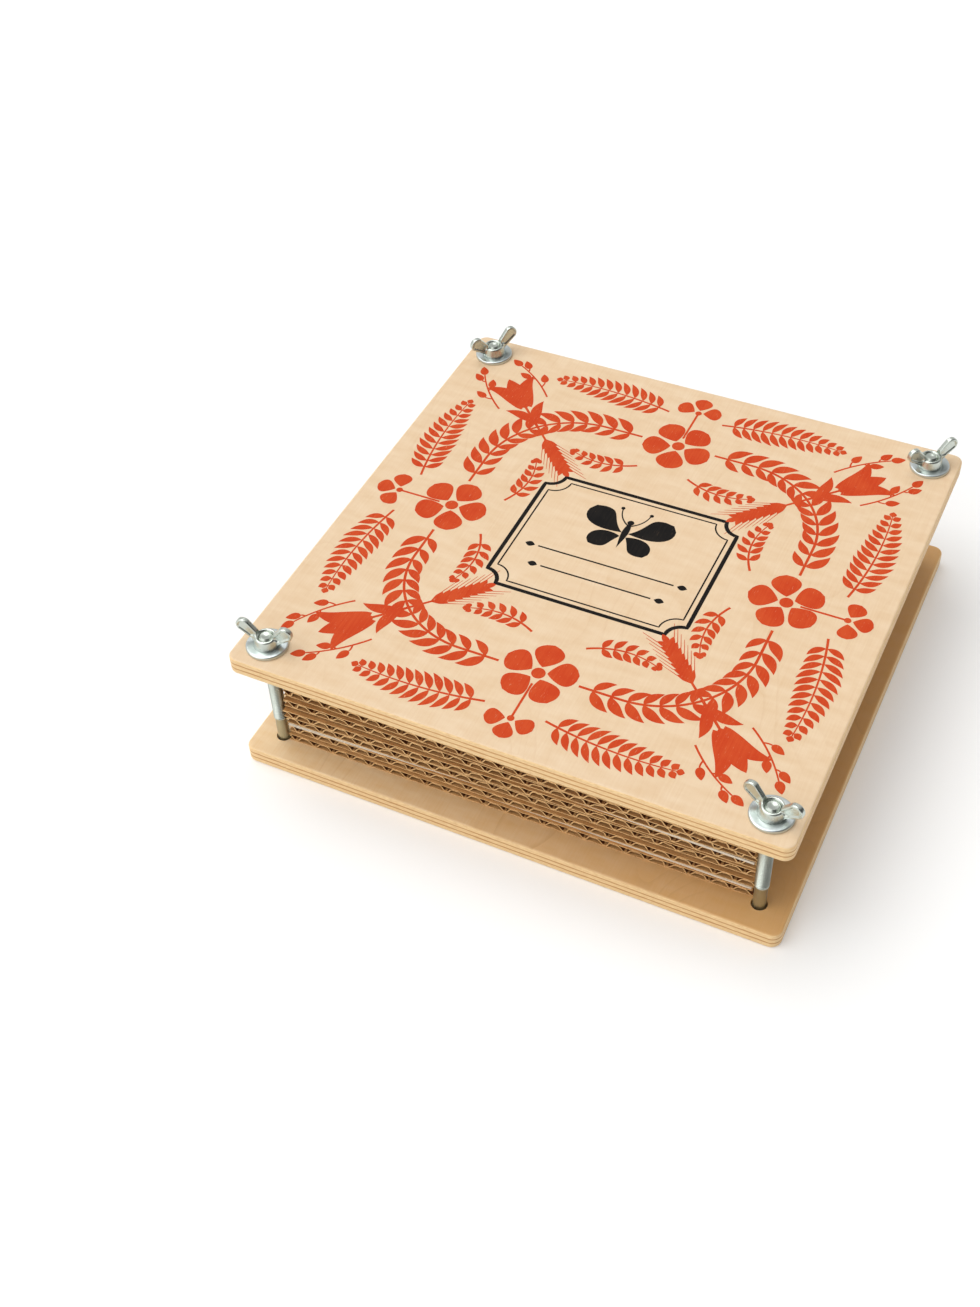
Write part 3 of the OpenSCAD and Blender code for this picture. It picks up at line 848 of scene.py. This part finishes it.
def along(spine, share):
    """The point and the heading in degrees at a share of a line of points."""
    place = share * (len(spine) - 1)
    n = min(int(place), len(spine) - 2)
    step = spine[n + 1] - spine[n]
    return spine[n] + step * (place - n), degrees(atan2(step[1], step[0]))


def frond(spine, pairs, longest, width, spread, first=0.1, last=0.97,
          taper=(0.75, 1.0, 0.8, 0.35)):
    """A stalk with pairs of leaflets that lean forward and shorten to the tip."""
    shapes = [stroke(spine, fern_stalk)]
    for n in range(pairs):
        share = first + (last - first) * n / (pairs - 1)
        reach = longest * np.interp(share, np.linspace(0, 1, len(taper)), taper)
        point, heading = along(spine, share)
        for side in (-1, 1):
            shapes.append(ray(point, leaflet_root, reach, heading + side * spread, width,
                              bend=side * leaflet_bend, fullest=leaflet_full))
    shapes.append(ray(spine[-1], 0, longest * taper[-1] * tip_share, along(spine, 1.0)[1], width,
                      bend=0, fullest=0.5))
    return shapes


def mirrored(shapes):
    """The strokes and their mirror images, left for right."""
    flip = np.array([-1, 1])
    return shapes + [(right * flip, left * flip, layer) for left, right, layer in shapes]


def swung(shapes, degrees):
    """The strokes, turned about the middle of the board."""
    angle = radians(degrees)
    spin = np.array([[cos(angle), sin(angle)], [-sin(angle), cos(angle)]])
    return [(left @ spin, right @ spin, layer) for left, right, layer in shapes]


def film(name, shapes):
    """A mesh of thin closed slabs, one for each stroke."""
    points, faces = [], []
    for number, (left, right, layer) in enumerate(shapes):
        count, first = len(left), len(points)
        top = print_low_mm + (layer + number % apart_count / apart_count) * print_step_mm
        for height in (print_low_mm, top):
            for edge in (right, left):
                points += [(x / 1000, y / 1000, height / 1000) for x, y in edge]
        low_r, low_l, top_r, top_l = (first + count * k for k in range(4))
        for n in range(count - 1):
            m = n + 1
            faces += [(top_r + n, top_r + m, top_l + m, top_l + n),
                      (low_l + n, low_l + m, low_r + m, low_r + n),
                      (low_r + n, low_r + m, top_r + m, top_r + n),
                      (low_l + m, low_l + n, top_l + n, top_l + m)]
        last = count - 1
        faces += [(low_l, low_r, top_r, top_l),
                  (low_r + last, low_l + last, top_l + last, top_r + last)]
    mesh = bpy.data.meshes.new(name)
    mesh.from_pydata(points, [], faces)
    return mesh


def turns_group():
    """Repeats a drawing round the board's middle in equal turns."""
    tree, ins = group_tree("drawing in turns", "Geometry Drawing", "Int Turns",
                           "Material Material")
    spots = add(tree, "GeometryNodeMeshLine", {"Count": ins["Turns"], "Offset": (0, 0, 0)})
    share = add(tree, "Math", (add(tree, "GeometryNodeInputIndex"), ins["Turns"]),
                "DIVIDE")
    angle = add(tree, "Math", (share, 2 * pi), "MULTIPLY")
    spread = add(tree, "GeometryNodeInstanceOnPoints", {
        "Points": spots, "Instance": ins["Drawing"],
        "Rotation": add(tree, "CombineXYZ", {"Z": angle})})
    welded = add(tree, "GeometryNodeMergeByDistance", {
        "Geometry": add(tree, "GeometryNodeRealizeInstances", (spread,)),
        "Distance": film_weld})
    ended(tree, welded, ins["Material"])
    return tree


ink_cloud_mm, ink_thins, ink_gloss, ink_roughness = 9, (0.8, 1.25), 0.12, 0.6
pore_mm, pore_shows, pore_share = (0.28, 2.4, 1), (0.70, 0.80), 0.5


def ink(name, full, thin, wood):
    """Screen ink on birch: matt and flat, thinner on the ridges, pores left bare."""
    material, tree, mm = new_material(name)
    fibre = grain(mm, fibre_mm, *fibrous)
    both = add(tree, "Math", (fibre, grain(mm, ink_cloud_mm)), "ADD")
    thinned = add(tree, "MapRange", (both, *ink_thins))
    tone = add(tree, "Mix", (thinned, full, thin), data_type="RGBA")
    pore = grain(mm, pore_mm, 1.0)
    bare = add(tree, "MapRange", (pore, *pore_shows, 0, pore_share))
    tone = add(tree, "Mix", (bare, tone, wood), data_type="RGBA")
    return surfaced(material, {"Base Color": tone, "Roughness": ink_roughness,
                               "Specular IOR Level": ink_gloss}, fibre, *fibre_relief)


# Half a side of the wreath: a vine of laurel, a long fern, a twig with buds, a short fern
vine_half, vine_round, blossom_reach = 77, 42, 16.5
laurel_spread, laurel_bend, laurel_root, bud_length, bud_spread = 40, 0.1, 0.5, 6.5, 50
bud = {"bend": 0, "fullest": 0.4, "blunt": 0.8}
vine_bend = [(vine_half - vine_round + vine_round * sin(a),
              vine_round - vine_half - vine_round * cos(a))
             for a in np.radians(np.linspace(0, 45, 19))]
vine = np.array([(x, -vine_half) for x in
                 np.linspace(blossom_reach + 1, vine_half - vine_round, 9)[:-1]] + vine_bend)
side_motifs = [stroke(vine, (0.6, 0.6))]
for share in np.linspace(0.1, 0.9, 7):
    point, heading = along(vine, share)
    for side, reach, width in ((-1, 13, 4.7), (1, 10.5, 3.7)):
        side_motifs.append(ray(point, laurel_root, reach, heading + side * laurel_spread, width,
                               bend=side * laurel_bend))
side_motifs += frond(bow((13, -99), (68, -102), bend=-0.04, steps=40), pairs=12, longest=11,
                     width=3.2, spread=56)
twig = bow((70, -87), (91, -104.5), bend=-0.05, steps=20)
side_motifs += [stroke(twig, (0.45, 0.35)),
                ray(twig[-1], 0, bud_length, along(twig, 1.0)[1], width=4.0, **bud)]
for share, side, reach in ((0.3, -1, 3.5), (0.55, 1, 2.5), (0.8, -1, 2.0)):
    point, heading = along(twig, share)
    tip = off(point, reach, radians(heading + side * bud_spread))
    side_motifs += [stroke(bow(point, tip, bend=0.06 * side), (0.4, 0.35)),
                    ray(tip, 0, bud_length, heading + side * 20, width=3.8, **bud)]
side_motifs += frond(bow((12, -57), (42, -55), bend=0.12, steps=30), pairs=6, longest=7.5,
                     width=3.0, spread=48, first=0.2)

# The middle of a side: a blossom of separate petals, as cut from a stencil, and a clover
eye_r, clover = 2.9, (0, -103)
petal = {"bend": 0, "fullest": 0.6, "blunt": 0.6, "layer": bloom_layer}
middle_motifs = [dot((0, -vine_half), eye_r)]
for n in range(5):
    middle_motifs.append(ray((0, -vine_half), eye_r + 0.7, blossom_reach, 90 + 72 * n,
                             width=12.6, **petal))
middle_motifs += [stroke(bow((0, -vine_half - 6), clover), (0.5, 0.5)), dot(clover, 1.5)]
for heading in (-165, -90, -15):
    middle_motifs.append(ray(clover, 2.2, 10.8, heading, width=8.4, **{**petal, "fullest": 0.62}))

# The corner, drawn to the right and then swung: a tulip outwards, an ear of wheat inwards
tulip = sqrt(2) * (vine_half - vine_round * (1 - sqrt(0.5)))
ear, grain_step = tulip - 10, 3.3
corner_motifs = [stroke(bow((tulip, 0), (tulip + 17, 0)), (0.7, 0.6)),
                 leaf((tulip + 15, 0), (tulip + 39, 0), width=9.6, bend=0, fullest=0.45,
                      blunt=0.8, layer=bud_layer)]
for side in (-1, 1):
    corner_motifs += [
        leaf((tulip + 15, 2.6 * side), (tulip + 37, 12 * side), width=8.0, bend=side * -0.16,
             blunt=0.8, layer=bloom_layer),
        leaf((tulip + 2, 0.6 * side), (tulip + 17, 9.5 * side), width=5.2, bend=side * -0.12,
             fullest=0.5)]
corner_motifs.append(stroke(bow((tulip, 0), (ear - 22, 0)), (0.6, 0.35)))
for n in range(7):
    foot = ear - grain_step * n
    for side in (-1, 1):
        corner_motifs += [
            leaf((foot, 0.5 * side), (foot - 6.2, 3.9 * side), width=2.7, bend=side * 0.1,
                 fullest=0.5, blunt=0.9),
            stroke(bow((foot - 6, 3.8 * side), (foot - 13, 7.0 * side)), (0.18, 0.1))]
corner_motifs.append(leaf((ear - 22.5, 0), (ear - 29, 0), width=2.9, bend=0, fullest=0.5,
                          blunt=0.9))

# Half the label: a double line with notched corners, a wing and feeler, two ruled lines
label_x, label_y, notch_r = 45, 37, 7
half_label = []
for inset, half_width in ((0, 0.9), (3.0, 0.35)):
    x, y, r = label_x - inset, label_y - inset, notch_r + inset / 4
    notch = [(x - r * cos(a), y - r * sin(a)) for a in np.radians(range(0, 91, 10))]
    upper = [(0, y), (x - r - 1, y), *notch, (x, y - r - 1), (x, 0)]
    edge = upper + [(u, -v) for u, v in upper[-2::-1]]
    half_label.append(stroke(edge, (half_width, half_width), leaf_layer))
half_label += [leaf((1.4, 13), (18, 25.5), width=13, bend=-0.1, fullest=0.68, blunt=0.6),
               leaf((1.4, 10.5), (12.5, 1.5), width=10, bend=0.1, fullest=0.62, blunt=0.6),
               stroke(bow((0.6, 18), (6.5, 27.5), bend=-0.12), (0.35, 0.25)),
               dot((6.7, 27.8), 0.9)]
ruled = ((31, -9), (25, -20))
half_label += [stroke(bow((0, y), (x, y)), (0.4, 0.4)) for x, y in ruled]
half_label += [leaf((x + 1.5, y), (x + 6, y), width=3.0, bend=0, fullest=0.5) for x, y in ruled]
butterfly = [leaf((0, 3), (0, 20.5), width=3.0, bend=0, fullest=0.62, blunt=0.8,
                  layer=bloom_layer), dot((0, 20), 1.5, bud_layer)]

coral_ink = ink("coral screen ink on birch", "#cb421b", "#d25025", "#e5b088")
black_ink = ink("black screen ink on birch", "#0d0b0a", "#1a1613", "#5a4838")
wreath = mirrored(side_motifs) + middle_motifs + swung(corner_motifs, -45)
in_turns = turns_group()
for name, shapes, turns, print_ink in (
        ("coral_print", wreath, 4, coral_ink),
        ("black_print", mirrored(half_label) + butterfly, 1, black_ink)):
    printed = grown(name, in_turns, {"Turns": turns, "Material": print_ink},
                    film(name + " drawing", shapes))
    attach(printed, "top_board")
